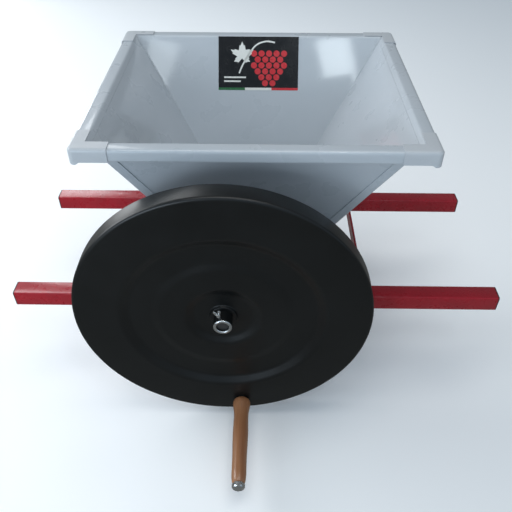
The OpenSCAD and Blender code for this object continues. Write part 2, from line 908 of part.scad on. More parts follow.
module drive_shaft() {
    color("silver") difference() {
        shaft(-roller_x, roller_z, -shaft_front, shaft_rear);
        roller_pins(-roller_x);
    }
}

module driven_shaft() {
    color("silver") difference() {
        shaft(roller_x, roller_z, beater_front, shaft_rear);
        roller_pins(roller_x);
    }
}

module roller(x, phase) {
    mean = roller_d / 2 - lobe_depth / 2;
    hub_len = roller_len + 2 * roller_hub_end;
    difference() {
        union() {
            slab(-roller_len / 2, roller_len / 2) translate([x, roller_z])
                polygon([for (i = [0:95]) let (a = i * 3.75)
                    turned(mean + lobe_depth / 2 * cos(lobe_count * (a - phase)), a)]);
            bar_along_y(x, roller_z, -hub_len / 2, hub_len / 2, collar_d);
        }
        bar_along_y(x, roller_z, -roller_len, roller_len, shaft_d);
        roller_pins(x);
    }
}

module drive_roller() {
    color("silver") roller(-roller_x, 0);
}

module driven_roller() {
    color("silver") roller(roller_x, 180 / lobe_count);
}

module pinned_gear(x, z, teeth, phase) {
    difference() {
        union() {
            gear(x, z, teeth, phase, shaft_d);
            ring_along_y(x, z, gear_y, gear_y + gear_hub_back, 2 * gear_hub_r, shaft_d);
        }
        cross_pins(x, z, [gear_pin_y], 3 * gear_hub_r);
    }
}

module drive_gear() {
    color("dimgray") pinned_gear(-roller_x, roller_z, roller_teeth, drive_phase);
}

module driven_gear() {
    color("dimgray") pinned_gear(roller_x, roller_z, roller_teeth, driven_phase);
}

module drive_pins() {
    color("silver") roller_pins(-roller_x);
}

module driven_pins() {
    color("silver") roller_pins(roller_x);
}

module rear_collar(x, z, y) {
    ring_along_y(x, z, y, y + collar_w, collar_d, shaft_d);
}

module drive_collar() {
    color("silver") rear_collar(-roller_x, roller_z, bar_in - wall + bush_len + 1);
}

module driven_collar() {
    color("silver") rear_collar(roller_x, roller_z, bar_in - wall + bush_len + 1);
}

// Shoulder bolt: the grip turns on its shank, and its thread goes through the wheel
module crank_bolt() {
    shoulder_y = -wheel_front - crank_washer_t;
    color("silver") {
        bolt_along_y(crank_x, crank_z, grip_front - 1, shoulder_y - grip_front + 1, crank_bolt_d);
        bar_along_y(crank_x, crank_z, shoulder_y - eps, shoulder_y + crank_thread_len, crank_thread_d);
    }
}

module crank_washer() {
    color("silver") ring_along_y(crank_x, crank_z, -wheel_front - crank_washer_t, -wheel_front,
        crank_washer_d, crank_thread_d);
}

module crank_nut() {
    color("silver") nut_along_y(crank_x, crank_z, -wheel_front + wheel_web, crank_thread_d);
}

// ---------- idler ----------

module idler_gear() {
    color("dimgray") gear(idler_x, idler_z, idler_teeth, idler_phase, idler_bush_d);
}

module idler_bush() {
    color("goldenrod")
        ring_along_y(idler_x, idler_z, gear_y - gear_w - gear_hub_front, gear_y + gear_hub_rear,
            idler_bush_d, idler_axle_d + 2 * fit);
}

// ---------- beater ----------

module each_paddle() {
    pitch = (paddle_last - paddle_first) / (paddle_count - 1);
    for (i = [0:paddle_count - 1])
        translate([0, paddle_first + i * pitch, beater_z])
            rotate([0, paddle_step * i - paddle_phase, 0]) children();
}

module beater_shaft() {
    color("silver") difference() {
        shaft(0, beater_z, beater_front, beater_rear);
        each_paddle() translate([0, 0, -shaft_d]) cylinder(d = paddle_d, h = 2 * shaft_d);
        cross_pins(0, beater_z, [gear_pin_y], 3 * gear_hub_r);
    }
}

module beater_paddles() {
    color("silver") each_paddle() {
        translate([0, 0, -shaft_d / 2 + 1]) cylinder(d = paddle_d, h = beater_r - blade_inset);
        rotate([0, 0, blade_twist]) translate([-blade_t / 2, 0, 0]) rotate([90, 0, 90])
            linear_extrude(height = blade_t)
            around([[0, beater_r - blade_w], [0, beater_r - blade_w / 2]], blade_w / 2);
    }
}

module beater_pinion() {
    color("dimgray") pinned_gear(0, beater_z, pinion_teeth, pinion_phase);
}

module beater_pin() {
    color("silver") cross_pins(0, beater_z, [gear_pin_y], 2 * gear_hub_r);
}

module beater_collar() {
    color("silver") rear_collar(0, beater_z, bar_in - wall - strap_t + bush_len + 1);
}

// ---------- grip ----------

module grip() {
    scale_y = grip_len / grip_curve[len(grip_curve) - 1][0];
    color("peru") translate([crank_x, grip_back, crank_z]) rotate([90, 0, 0]) rotate_extrude()
        polygon(concat([[grip_bush_d / 2, 0]],
            [for (p = grip_curve) [p[1], p[0] * scale_y]],
            [[grip_bush_d / 2, grip_len]]));
}

module grip_bush() {
    color("goldenrod") ring_along_y(crank_x, crank_z, grip_front, grip_back, grip_bush_d,
        crank_bolt_d + 2 * fit);
}

front_bar();
rear_bar();
bar_end_plugs();
left_tie();
right_tie();
front_end_plate();
rear_end_plate();
left_side_plate();
right_side_plate();
body_bolts();
body_nuts();
hopper_front_wall();
hopper_rear_wall();
hopper_left_wall();
hopper_right_wall();
hopper_corner_covers();
hopper_bolts();
hopper_nuts();
label();
roller_bushes();
beater_bushes();
flywheel_bush();
gear_plate();
gear_guard();
guard_screws();
idler_axle();
idler_axle_nut();
destemmer_cage();
cage_wing_screws();
rear_bearing_strap();
strap_screws();
stem_chute();
chute_screws();
flywheel();
flywheel_hub();
wing_bolt();
drive_shaft();
drive_roller();
drive_gear();
drive_pins();
drive_collar();
crank_bolt();
crank_washer();
crank_nut();
driven_shaft();
driven_roller();
driven_gear();
driven_pins();
driven_collar();
idler_gear();
idler_bush();
beater_shaft();
beater_paddles();
beater_pinion();
beater_pin();
beater_collar();
grip();
grip_bush();
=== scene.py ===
"""Looks of a hand-cranked grape crusher and destemmer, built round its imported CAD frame.

Units are metres, in the CAD's own frame: +X right, +Y away from the flywheel, +Z up.
"""
import json
import math
import random

import bmesh
import bpy
from mathutils import Matrix, Vector


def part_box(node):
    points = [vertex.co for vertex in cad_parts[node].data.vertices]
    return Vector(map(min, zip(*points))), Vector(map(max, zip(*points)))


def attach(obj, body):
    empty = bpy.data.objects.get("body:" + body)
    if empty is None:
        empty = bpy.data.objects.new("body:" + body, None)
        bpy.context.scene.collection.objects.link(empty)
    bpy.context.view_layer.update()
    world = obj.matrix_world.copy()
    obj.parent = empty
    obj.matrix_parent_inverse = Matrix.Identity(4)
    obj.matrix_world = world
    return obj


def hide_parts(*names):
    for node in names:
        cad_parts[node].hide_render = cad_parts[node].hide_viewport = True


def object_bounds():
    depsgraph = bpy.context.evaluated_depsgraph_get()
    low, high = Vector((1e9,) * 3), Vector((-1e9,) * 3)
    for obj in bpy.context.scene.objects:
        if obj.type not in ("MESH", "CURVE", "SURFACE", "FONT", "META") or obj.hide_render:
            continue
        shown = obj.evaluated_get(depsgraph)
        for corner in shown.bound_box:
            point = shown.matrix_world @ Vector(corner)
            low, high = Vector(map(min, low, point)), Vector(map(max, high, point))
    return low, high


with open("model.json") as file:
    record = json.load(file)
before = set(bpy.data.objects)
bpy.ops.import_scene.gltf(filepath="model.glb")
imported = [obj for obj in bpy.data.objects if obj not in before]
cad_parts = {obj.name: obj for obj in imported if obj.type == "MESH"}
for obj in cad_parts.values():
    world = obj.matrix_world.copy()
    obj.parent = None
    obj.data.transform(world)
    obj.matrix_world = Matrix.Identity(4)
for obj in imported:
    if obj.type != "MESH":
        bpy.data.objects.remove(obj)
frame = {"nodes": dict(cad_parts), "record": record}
CAD_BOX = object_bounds()
NODES = frame["nodes"]
MM = 0.001


# ---------- small helpers ----------

def low(node):
    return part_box(node)[0]


def high(node):
    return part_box(node)[1]


def middle(node):
    return (low(node) + high(node)) / 2


def new_object(name, mesh):
    obj = bpy.data.objects.new(name, mesh)
    bpy.context.scene.collection.objects.link(obj)
    return obj


def from_bmesh(name, bm, smooth=True):
    """Turns a bmesh into an object with outward faces."""
    bmesh.ops.remove_doubles(bm, verts=bm.verts, dist=1e-7)
    bmesh.ops.recalc_face_normals(bm, faces=bm.faces)
    mesh = bpy.data.meshes.new(name)
    bm.to_mesh(mesh)
    bm.free()
    for face in mesh.polygons:
        face.use_smooth = smooth
    return new_object(name, mesh)


def from_grid(name, rows, closed_rows=False, closed_columns=False, smooth=True):
    """Object from rows of points, each row joined to the next."""
    bm = bmesh.new()
    grid = [[bm.verts.new(p) for p in row] for row in rows]
    last_row = len(grid) if closed_rows else len(grid) - 1
    count = len(grid[0])
    last_column = count if closed_columns else count - 1
    for i in range(last_row):
        for j in range(last_column):
            a, b = grid[i], grid[(i + 1) % len(grid)]
            bm.faces.new((a[j], a[(j + 1) % count], b[(j + 1) % count], b[j]))
    return from_bmesh(name, bm, smooth)


def bevel(obj, width):
    """Narrow rounds along the edges sharper than 35 degrees."""
    mod = obj.modifiers.new("bevel", "BEVEL")
    mod.width = width
    mod.segments = 2
    mod.limit_method = "ANGLE"
    mod.angle_limit = math.radians(35)


def smooth_by_angle(obj, degrees):
    """Smooth shading that keeps edges sharper than the angle."""
    mesh = obj.data
    for face in mesh.polygons:
        face.use_smooth = True
    mesh.set_sharp_from_angle(angle=math.radians(degrees))


def join(name, objects):
    """One object from several, all without modifiers."""
    bm = bmesh.new()
    for obj in objects:
        mesh = obj.data.copy()
        mesh.transform(obj.matrix_world)
        bm.from_mesh(mesh)
        bpy.data.meshes.remove(mesh)
        bpy.data.objects.remove(obj)
    mesh = bpy.data.meshes.new(name)
    bm.to_mesh(mesh)
    bm.free()
    return new_object(name, mesh)


def place(obj, matrix):
    obj.data.transform(matrix)
    return obj


def lathe(name, profile, segments=64, closed=False):
    """Solid of revolution about local Z from (radius, height) points."""
    bm = bmesh.new()
    rings = []
    for radius, height in profile:
        if radius < 1e-6:
            rings.append([bm.verts.new((0, 0, height))])
            continue
        rings.append([bm.verts.new((radius * math.cos(a), radius * math.sin(a), height))
                      for a in turns(segments)])
    pairs = list(zip(rings, rings[1:]))
    if closed:
        pairs.append((rings[-1], rings[0]))
    for a, b in pairs:
        for k in range(segments):
            n = (k + 1) % segments
            if len(a) == 1:
                bm.faces.new((a[0], b[n], b[k]))
            elif len(b) == 1:
                bm.faces.new((a[k], a[n], b[0]))
            else:
                bm.faces.new((a[k], a[n], b[n], b[k]))
    return from_bmesh(name, bm)


def turns(count):
    """Angles of a circle's equal steps."""
    return [2 * math.pi * k / count for k in range(count)]


def capped(rows):
    """Closed rows with each end drawn together to its middle."""
    ends = [[sum(row, Vector()) / len(row)] * len(row) for row in (rows[0], rows[-1])]
    return [ends[0], *rows, ends[1]]


def axis_frame(origin, direction, side=(1, 0, 0)):
    """Matrix that takes local Z to direction and local X near side."""
    z = Vector(direction).normalized()
    x = Vector(side) - z * Vector(side).dot(z)
    if x.length < 1e-6:
        x = Vector((0, 0, 1)) - z * z.z
    x.normalize()
    y = z.cross(x)
    return Matrix(((x.x, y.x, z.x, origin[0]), (x.y, y.y, z.y, origin[1]),
                   (x.z, y.z, z.z, origin[2]), (0, 0, 0, 1)))


def fillet(points, radius, steps=4):
    """Outline with rounded corners between its straight stretches. A point may carry its own radius."""
    result = [Vector(points[0][:2])]
    for before, here, after in zip(points, points[1:], points[2:]):
        p, a, b = Vector(here[:2]), Vector(before[:2]), Vector(after[:2])
        r = here[2] if len(here) > 2 else radius
        u, v = (a - p), (b - p)
        reach = min(r, 0.45 * u.length, 0.45 * v.length)
        start, end = p + u.normalized() * reach, p + v.normalized() * reach
        for k in range(steps + 1):
            t = k / steps
            result.append((1 - t) ** 2 * start + 2 * t * (1 - t) * p + t ** 2 * end)
    result.append(Vector(points[-1][:2]))
    return result


def smooth_curve(points, steps):
    """Catmull-Rom curve through the points."""
    result = []
    for i in range(len(points) - 1):
        p0, p1 = points[max(i - 1, 0)], points[i]
        p2, p3 = points[i + 1], points[min(i + 2, len(points) - 1)]
        for k in range(steps):
            t = k / steps
            result.append(0.5 * ((2 * p1) + (p2 - p0) * t + (2 * p0 - 5 * p1 + 4 * p2 - p3) * t ** 2
                                 + (3 * p1 - p0 - 3 * p2 + p3) * t ** 3))
    result.append(points[-1])
    return result


def finish_piece(obj, angle, slot, body, *nodes, material=None):
    """Gives a new piece its shading angle, the material kept under its slot name and its body, and
    hides the CAD nodes it stands for.
    """
    if angle:
        smooth_by_angle(obj, angle)
    obj.data.materials.clear()
    obj.data.materials.append(material or MATS[slot])
    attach(obj, body)
    if nodes:
        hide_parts(*nodes)


# ---------- materials ----------

class Shader:
    """A Principled material and short ways to add nodes to it."""

    def __init__(self, name, colour=None, roughness=None, **inputs):
        self.material = bpy.data.materials.new(name)
        self.material.use_nodes = True
        self.tree = self.material.node_tree
        self.base = self.tree.nodes["Principled BSDF"]
        if colour:
            self.set("Base Color", (*colour, 1))
        if roughness:
            self.set("Roughness", roughness)
        for key, value in inputs.items():
            self.set(key.replace("_", " "), value)
        self.height = None

    def set(self, key, value):
        self.base.inputs[key].default_value = value

    def node(self, kind, **settings):
        node = self.tree.nodes.new(kind)
        for key, value in settings.items():
            if key in node.inputs:
                node.inputs[key].default_value = value
            else:
                setattr(node, key, value)
        return node

    def link(self, a, b):
        self.tree.links.new(a, b)

    def coordinates(self, stretch=(1, 1, 1)):
        where = self.node("ShaderNodeTexCoord")
        mapping = self.node("ShaderNodeMapping")
        mapping.inputs["Scale"].default_value = stretch
        self.link(where.outputs["Object"], mapping.inputs["Vector"])
        return mapping.outputs["Vector"]

    def noise(self, scale, detail=4.0, stretch=(1, 1, 1), rough=0.55):
        tex = self.node("ShaderNodeTexNoise", Scale=scale, Detail=detail, Roughness=rough)
        self.link(self.coordinates(stretch), tex.inputs["Vector"])
        return tex.outputs["Fac"]

    def ramp(self, value, low_at, high_at, low_to=0.0, high_to=1.0):
        node = self.node("ShaderNodeMapRange")
        node.inputs["From Min"].default_value = low_at
        node.inputs["From Max"].default_value = high_at
        node.inputs["To Min"].default_value = low_to
        node.inputs["To Max"].default_value = high_to
        self.link(value, node.inputs["Value"])
        return node.outputs["Result"]

    def mix(self, factor, a, b):
        """Mixes colours; a and b are tuples or sockets."""
        node = self.node("ShaderNodeMix", data_type="RGBA")
        self.link(factor, node.inputs["Factor"])
        colour_a = [s for s in node.inputs if s.name == "A" and s.type == "RGBA"][0]
        colour_b = [s for s in node.inputs if s.name == "B" and s.type == "RGBA"][0]
        for socket, value in ((colour_a, a), (colour_b, b)):
            if isinstance(value, tuple):
                socket.default_value = (*value, 1)
            else:
                self.link(value, socket)
        return [s for s in node.outputs if s.type == "RGBA"][0]

    def colour(self, share, low_at, high_at, a, b):
        """Base colour from a to b as share goes from low_at to high_at."""
        self.link(self.mix(self.ramp(share, low_at, high_at), a, b), self.base.inputs["Base Color"])

    def roughness(self, share, low_at, high_at, a, b):
        self.link(self.ramp(share, low_at, high_at, a, b), self.base.inputs["Roughness"])

    def bump(self, value, strength, distance):
        node = self.node("ShaderNodeBump", Strength=strength, Distance=distance)
        self.link(value, node.inputs["Height"])
        if self.height is not None:
            self.link(self.height, node.inputs["Normal"])
        self.height = node.outputs["Normal"]
        self.link(self.height, self.base.inputs["Normal"])


def red_paint():
    """Thick glossy enamel with a slight orange peel."""
    s = Shader("red_paint", Specular_IOR_Level=0.3, Coat_Weight=0.25, Coat_Roughness=0.12)
    s.colour(s.noise(11, 5), 0.35, 0.7, (0.34, 0.006, 0.016), (0.26, 0.005, 0.012))
    s.roughness(s.noise(70, 5), 0.3, 0.75, 0.22, 0.40)
    s.bump(s.noise(150, 2), 0.22, 0.0007)
    s.bump(s.noise(28, 2), 0.12, 0.002)
    return s.material


def sheet_paint(name, colour, shade):
    """Stoved enamel on thin sheet: glossy, with long soft waves in the metal under it."""
    s = Shader(name, Coat_Weight=0.7, Coat_Roughness=0.07)
    s.colour(s.noise(5, 5), 0.35, 0.7, colour, shade)
    s.roughness(s.noise(14, 6), 0.3, 0.75, 0.22, 0.42)
    s.bump(s.noise(110, 1), 0.015, 0.0005)
    s.bump(s.noise(6, 1), 0.14, 0.006)
    return s.material


def moulded_plastic(name, colour, roughness, specular=0.5):
    """Injection moulded plastic with a fine grain."""
    s = Shader(name, colour, Specular_IOR_Level=specular)
    s.roughness(s.noise(50, 5), 0.3, 0.75, roughness - 0.07, roughness + 0.09)
    s.bump(s.noise(500, 2), 0.10, 0.0002)
    return s.material


def wheel_paint():
    """Satin black powder coat with faint handling marks."""
    s = Shader("wheel_paint", Specular_IOR_Level=0.4)
    s.colour(s.noise(7, 6), 0.4, 0.75, (0.0032, 0.0038, 0.0038), (0.0052, 0.0058, 0.0058))
    s.roughness(s.noise(18, 6), 0.3, 0.75, 0.30, 0.44)
    s.bump(s.noise(220, 2), 0.06, 0.0004)
    return s.material


def zinc():
    """Bright zinc plating, mottled."""
    s = Shader("zinc", Metallic=1.0)
    s.colour(s.noise(90, 3), 0.3, 0.7, (0.56, 0.58, 0.60), (0.70, 0.70, 0.68))
    s.roughness(s.noise(200, 4), 0.3, 0.7, 0.20, 0.38)
    return s.material


def brushed(name, colour, stretch, roughness):
    """Metal with grain drawn out along the axes where stretch is small."""
    s = Shader(name, Metallic=1.0)
    grain = s.noise(60, 6, stretch)
    s.colour(grain, 0.3, 0.7, colour, tuple(c * 0.8 for c in colour))
    s.roughness(grain, 0.3, 0.7, roughness - 0.08, roughness + 0.1)
    s.bump(grain, 0.08, 0.0002)
    return s.material


def cast_metal(name, colour, metallic, roughness):
    s = Shader(name, roughness=roughness, Metallic=metallic)
    s.colour(s.noise(30, 6), 0.35, 0.7, colour, tuple(c * 0.72 for c in colour))
    s.bump(s.noise(260, 6), 0.3, 0.0005)
    return s.material


def bronze():
    s = Shader("bronze", roughness=0.32, Metallic=1.0)
    s.colour(s.noise(80, 5), 0.35, 0.7, (0.56, 0.35, 0.15), (0.42, 0.26, 0.12))
    return s.material


def nylon():
    s = Shader("nylon", (0.72, 0.70, 0.62))
    s.roughness(s.noise(80, 4), 0.3, 0.7, 0.36, 0.5)
    return s.material


def varnished_wood():
    """Long fibres along Y, slow colour bands and a clear varnish."""
    s = Shader("varnished_wood", Coat_Weight=0.45, Coat_Roughness=0.2)
    bands = s.ramp(s.noise(60, 3, (1, 0.10, 1)), 0.32, 0.68)
    fibres = s.ramp(s.noise(330, 5, (1, 0.035, 1), 0.7), 0.35, 0.7)
    wood = s.mix(bands, (0.36, 0.165, 0.072), (0.25, 0.10, 0.042))
    dark = s.mix(s.ramp(fibres, 0.55, 1.0, 0.0, 0.5), wood, (0.12, 0.045, 0.018))
    s.link(dark, s.base.inputs["Base Color"])
    s.roughness(fibres, 0.0, 1.0, 0.32, 0.46)
    s.bump(fibres, 0.10, 0.0003)
    return s.material


MATS = {
    "red_paint": red_paint(),
    "hopper_paint": sheet_paint("hopper_paint", (0.46, 0.49, 0.52), (0.42, 0.455, 0.485)),
    "grey_paint": sheet_paint("grey_paint", (0.45, 0.48, 0.50), (0.40, 0.43, 0.46)),
    "cover_plastic": moulded_plastic("cover_plastic", (0.46, 0.48, 0.50), 0.34),
    "black_plastic": moulded_plastic("black_plastic", (0.02, 0.02, 0.022), 0.5),
    "label_print": moulded_plastic("label_print", (0.004, 0.004, 0.005), 0.25, 0.3),
    "zinc": zinc(),
    "nylon": nylon(),
    "stainless": brushed("stainless", (0.58, 0.59, 0.60), (1, 0.06, 1), 0.3),
    "steel": brushed("steel", (0.16, 0.16, 0.165), (0.06, 1, 0.06), 0.45),
    "black_wheel": wheel_paint(),
    "cast_aluminium": cast_metal("cast_aluminium", (0.62, 0.63, 0.64), 1.0, 0.36),
    "cast_iron": cast_metal("cast_iron", (0.07, 0.07, 0.075), 0.8, 0.5),
    "bronze": bronze(),
    "varnished_wood": varnished_wood(),
}

for part in frame["record"]["subparts"]:
    cad = NODES[part["node"]]
    cad.data.materials.clear()
    cad.data.materials.append(MATS[part["material_slot"]])
    smooth_by_angle(cad, 32)


# ---------- camera, floor and light ----------

def look_from(origin, yaw, pitch, roll):
    """Camera matrix. Yaw from +Y towards +X, pitch below the horizon, roll to the left."""
    yaw, pitch, roll = math.radians(yaw), math.radians(pitch), math.radians(roll)
    level = Vector((math.sin(yaw), math.cos(yaw), 0)) * math.cos(pitch)
    back = Vector((0, 0, math.sin(pitch))) - level
    across = Vector((math.cos(yaw), -math.sin(yaw), 0))
    over = back.cross(across)
    right = across * math.cos(roll) + over * math.sin(roll)
    up = over * math.cos(roll) - across * math.sin(roll)
    return Matrix(((right.x, up.x, back.x, origin[0]), (right.y, up.y, back.y, origin[1]),
                   (right.z, up.z, back.z, origin[2]), (0, 0, 0, 1)))


def add_camera():
    data = bpy.data.cameras.new("camera")
    data.lens = 40.2
    data.sensor_width = 36
    camera = bpy.data.objects.new("camera", data)
    camera.matrix_world = look_from((0.0118, -0.9161, 0.7787), -0.80, 41.01, 0.08)
    bpy.context.scene.collection.objects.link(camera)
    bpy.context.scene.camera = camera


def add_floor():
    reach = 6
    z = CAD_BOX[0][2] - 1 * MM
    rows = [[(x, y, z) for x in (-reach, reach)] for y in (-reach, reach)]
    floor = from_grid("floor", rows, smooth=False)
    s = Shader("floor", (0.96, 0.96, 0.955), 0.8)
    s.bump(s.noise(40, 2), 0.02, 0.001)
    floor.data.materials.append(s.material)
    floor.visible_glossy = False


# Lamps: place, target, width and height, power, colour
LAMPS = {
    "ceiling": ((0.1, -0.3, 2.7), (0, -0.1, 0), (2.2, 1.0), 20, (1.0, 0.985, 0.95)),
    "left_window": ((-2.35, 0.55, 1.2), (0, 0, 0.15), (1.5, 1.3), 38, (0.93, 0.97, 1.0)),
    "back_left_low": ((-2.0, 2.3, 0.45), (-0.1, 0, 0.1), (0.8, 1.3), 12, (0.95, 0.98, 1.0)),
    "back_left_high": ((-1.4, 2.0, 2.0), (-0.2, 0, 0), (1.2, 0.8), 10, (0.95, 0.98, 1.0)),
    "front_left_low": ((-1.5, -2.4, 0.55), (0, 0, 0.1), (1.2, 0.9), 26, (0.75, 0.88, 1.0)),
    "left_pane": ((-0.62, -1.32, 2.10), (0, 0.23, 0.28), (0.18, 0.29), 1.1, (0.86, 0.95, 1.0)),
    "right_pane": ((0.445, -1.30, 2.12), (0, 0.23, 0.28), (0.20, 0.29), 2.4, (0.86, 0.95, 1.0)),
}

# Soft patches of the surroundings: strength, colour, and where they start and are full along each axis
PATCHES = {
    "lower": (0.2, (0.9, 0.95, 0.95), (("Z", 0.1, -0.1),)),
    "front": (0.62, (0.68, 0.84, 1.0), (("Z", -0.1, 0.1), ("Y", 0.25, -0.25))),
    "back_left": (0.3, (0.8, 0.9, 1.0), (("Z", -0.1, 0.1), ("Y", -0.25, 0.25), ("X", 0.15, -0.15))),
    "back_right": (0.2, (0.8, 0.9, 1.0), (("Z", -0.1, 0.1), ("Y", -0.25, 0.25), ("X", -0.15, 0.15))),
}


def area_light(name, place_at, target, size, power, colour):
    data = bpy.data.lights.new(name, "AREA")
    data.shape = "RECTANGLE"
    data.size, data.size_y = size
    data.energy = power
    data.color = colour
    lamp = bpy.data.objects.new(name, data)
    lamp.location = place_at
    lamp.rotation_euler = (Vector(target) - Vector(place_at)).to_track_quat("-Z", "Y").to_euler()
    bpy.context.scene.collection.objects.link(lamp)


def add_world():
    """Soft surroundings made of a few overlapping patches."""
    world = bpy.data.worlds.new("studio")
    bpy.context.scene.world = world
    world.use_nodes = True
    nodes, links = world.node_tree.nodes, world.node_tree.links
    where = nodes.new("ShaderNodeTexCoord")
    split = nodes.new("ShaderNodeSeparateXYZ")
    links.new(where.outputs["Generated"], split.inputs[0])
    total = None
    for strength, colour, limits in PATCHES.values():
        patch = nodes.new("ShaderNodeVectorMath")
        patch.operation = "SCALE"
        patch.inputs[0].default_value = [strength * c for c in colour]
        share = None
        for axis, start, full in limits:
            ramp = nodes.new("ShaderNodeMapRange")
            ramp.interpolation_type = "SMOOTHSTEP"
            ramp.inputs["From Min"].default_value = start
            ramp.inputs["From Max"].default_value = full
            links.new(split.outputs[axis], ramp.inputs["Value"])
            if share is None:
                share = ramp.outputs["Result"]
                continue
            both = nodes.new("ShaderNodeMath")
            both.operation = "MULTIPLY"
            links.new(share, both.inputs[0])
            links.new(ramp.outputs["Result"], both.inputs[1])
            share = both.outputs[0]
        links.new(share, patch.inputs["Scale"])
        if total is None:
            total = patch.outputs["Vector"]
            continue
        add = nodes.new("ShaderNodeVectorMath")
        add.operation = "ADD"
        links.new(total, add.inputs[0])
        links.new(patch.outputs["Vector"], add.inputs[1])
        total = add.outputs["Vector"]
    links.new(total, nodes["Background"].inputs["Color"])


def add_light():
    bpy.context.scene.view_settings.view_transform = "Standard"
    add_world()
    for name, (place_at, target, size, power, colour) in LAMPS.items():
        area_light(name, place_at, target, size, power, colour)


add_camera()
add_floor()
add_light()


# ---------- bars and ties ----------

def rounded_square(half, radius, steps=4):
    """Outline of a square with rounded corners, counter-clockwise."""
    outline = []
    for k, (sx, sy) in enumerate(((1, 1), (-1, 1), (-1, -1), (1, -1))):
        for i in range(steps + 1):
            angle = math.radians(90 * k + 90 * i / steps)
            outline.append(Vector((sx * (half - radius) + radius * math.cos(angle),
                                   sy * (half - radius) + radius * math.sin(angle))))
    return outline


def make_bar(node):
    """Square tube with rounded corners, open at its ends."""
    lo, hi = low(node), high(node)
    centre = middle(node)
    half, wall, soft = (hi.z - lo.z) / 2, 2 * MM, 0.5 * MM
    outer = rounded_square(half, 3 * MM)
    inner = rounded_square(half - wall, 1.2 * MM)
    rows = []
    for inset, x in ((soft, lo.x), (0, lo.x + soft), (0, hi.x - soft), (soft, hi.x)):
        size = 1 - inset / half
        rows.append([(x, centre.y + p.x * size, centre.z + p.y * size) for p in outer])
    for x in (hi.x, lo.x):
        rows.append([(x, centre.y + p.x, centre.z + p.y) for p in inner])
    bar = from_grid(node + "_tube", rows, closed_rows=True, closed_columns=True)
    finish_piece(bar, 50, "red_paint", "frame", node)


def make_plugs():
    """Moulded plug in each bar end: a soft-edged cap and a body inside the tube."""
    lo, hi = low("bar_end_plugs"), high("bar_end_plugs")
    half = (high("front_bar").z - low("front_bar").z) / 2
    steps = [(0.0, half - 1.2 * MM, 2.4 * MM), (0.25 * MM, half - 0.45 * MM, 2.9 * MM),
             (0.9 * MM, half, 3.2 * MM), (1.9 * MM, half, 3.2 * MM),
             (2.0 * MM, half - 2.2 * MM, 1 * MM), (21 * MM, half - 2.5 * MM, 1 * MM)]
    plugs = []
    for bar in ("front_bar", "rear_bar"):
        centre = middle(bar)
        for end, way in ((lo.x, 1), (hi.x, -1)):
            rows = [[(end, centre.y + 0.02 * p.x, centre.z + 0.02 * p.y)
                     for p in rounded_square(half, 3 * MM)]]
            for depth, size, corner in steps:
                rows.append([(end + way * depth, centre.y + p.x, centre.z + p.y)
                             for p in rounded_square(size, corner)])
            plugs.append(from_grid("plug", rows, closed_columns=True))
    plugs = join("bar_end_plugs_moulded", plugs)
    finish_piece(plugs, 40, "black_plastic", "frame", "bar_end_plugs")


def weld(points, radius, seed):
    """Bead of weld metal along a line, with overlapping ripples."""
    dice = random.Random(seed)
    line = [Vector(p) for p in points]
    total = sum((b - a).length for a, b in zip(line, line[1:]))
    count = max(6, int(total / (radius * 0.35)))
    rows = []
    for i in range(count + 1):
        reach = total * i / count
        at, way = line[0], line[1] - line[0]
        for a, b in zip(line, line[1:]):
            step = (b - a).length
            if reach <= step + 1e-9:
                at, way = a + (b - a) * (reach / step), b - a
                break
            reach -= step
            at, way = b, b - a
        ends = min(1.0, 0.35 + 2.2 * min(i, count - i) / count * total / (radius * 6))
        size = radius * ends * (0.88 + 0.14 * math.sin(i * 1.9) + 0.05 * dice.random())
        matrix = axis_frame(at, way)
        rows.append([matrix @ Vector((size * math.cos(a), size * math.sin(a), 0)) for a in turns(8)])
    return from_grid("weld", capped(rows), closed_columns=True)


def make_tie_welds():
    """Beads down both sides of each tie, where it meets the bars."""
    beads = []
    for k, node in enumerate(("left_tie", "right_tie")):
        lo, hi = low(node), high(node)
        for x in (lo.x - 0.8 * MM, hi.x + 0.8 * MM):
            for y in (lo.y + 1 * MM, hi.y - 1 * MM):
                line = [(x, y, lo.z + 2 * MM), (x, y, hi.z - 2 * MM)]
                beads.append(weld(line, 2.2 * MM, 10 * k + len(beads)))
    beads = join("tie_welds", beads)
    finish_piece(beads, 60, "red_paint", "frame")


for bar_node in ("front_bar", "rear_bar"):
    make_bar(bar_node)
make_plugs()
make_tie_welds()


# ---------- hopper ----------

MOUTH_Z = low("hopper_rear_wall").z
RIM_Z = high("hopper_rear_wall").z
RIM_HALF_X = high("hopper_rear_wall").x
RIM_W = -low("hopper_left_wall").x - RIM_HALF_X
FRONT_Y = low("hopper_front_wall").y + RIM_W
REAR_Y = high("hopper_rear_wall").y - RIM_W
MOUTH_HALF_X = 90 * MM
MOUTH_HALF_Y = 125 * MM
SHEET = 1.5 * MM
RIM_H = 21 * MM
LIP = 8 * MM
FLANGE = 18 * MM


def climb(z, low_value, high_value):
    """Value at a height between the hopper's mouth and its rim."""
    return low_value + (high_value - low_value) * (z - MOUTH_Z) / (RIM_Z - MOUTH_Z)


def rim_path(edge, way):
    """Middle line of the rolled rim: lip end, bottom, outer and inner corners. Level and height."""
    half = SHEET / 2
    return [(edge + way * (RIM_W - LIP), RIM_Z - RIM_H + half),
            (edge + way * (RIM_W - half), RIM_Z - RIM_H + half, 5 * MM),
            (edge + way * (RIM_W - half), RIM_Z - half, 5 * MM),
            (edge + way * half, RIM_Z - half, 2.6 * MM)]


def both_sides(line, thickness):
    """A flat line's two sides, half the thickness to the left and to the right of it."""
    left, right = [], []
    for i, p in enumerate(line):
        way = (line[min(i + 1, len(line) - 1)] - line[max(i - 1, 0)]).normalized()
        across = Vector((-way.y, way.x)) * (thickness / 2)
        left.append(p + across)
        right.append(p - across)
    return left, right


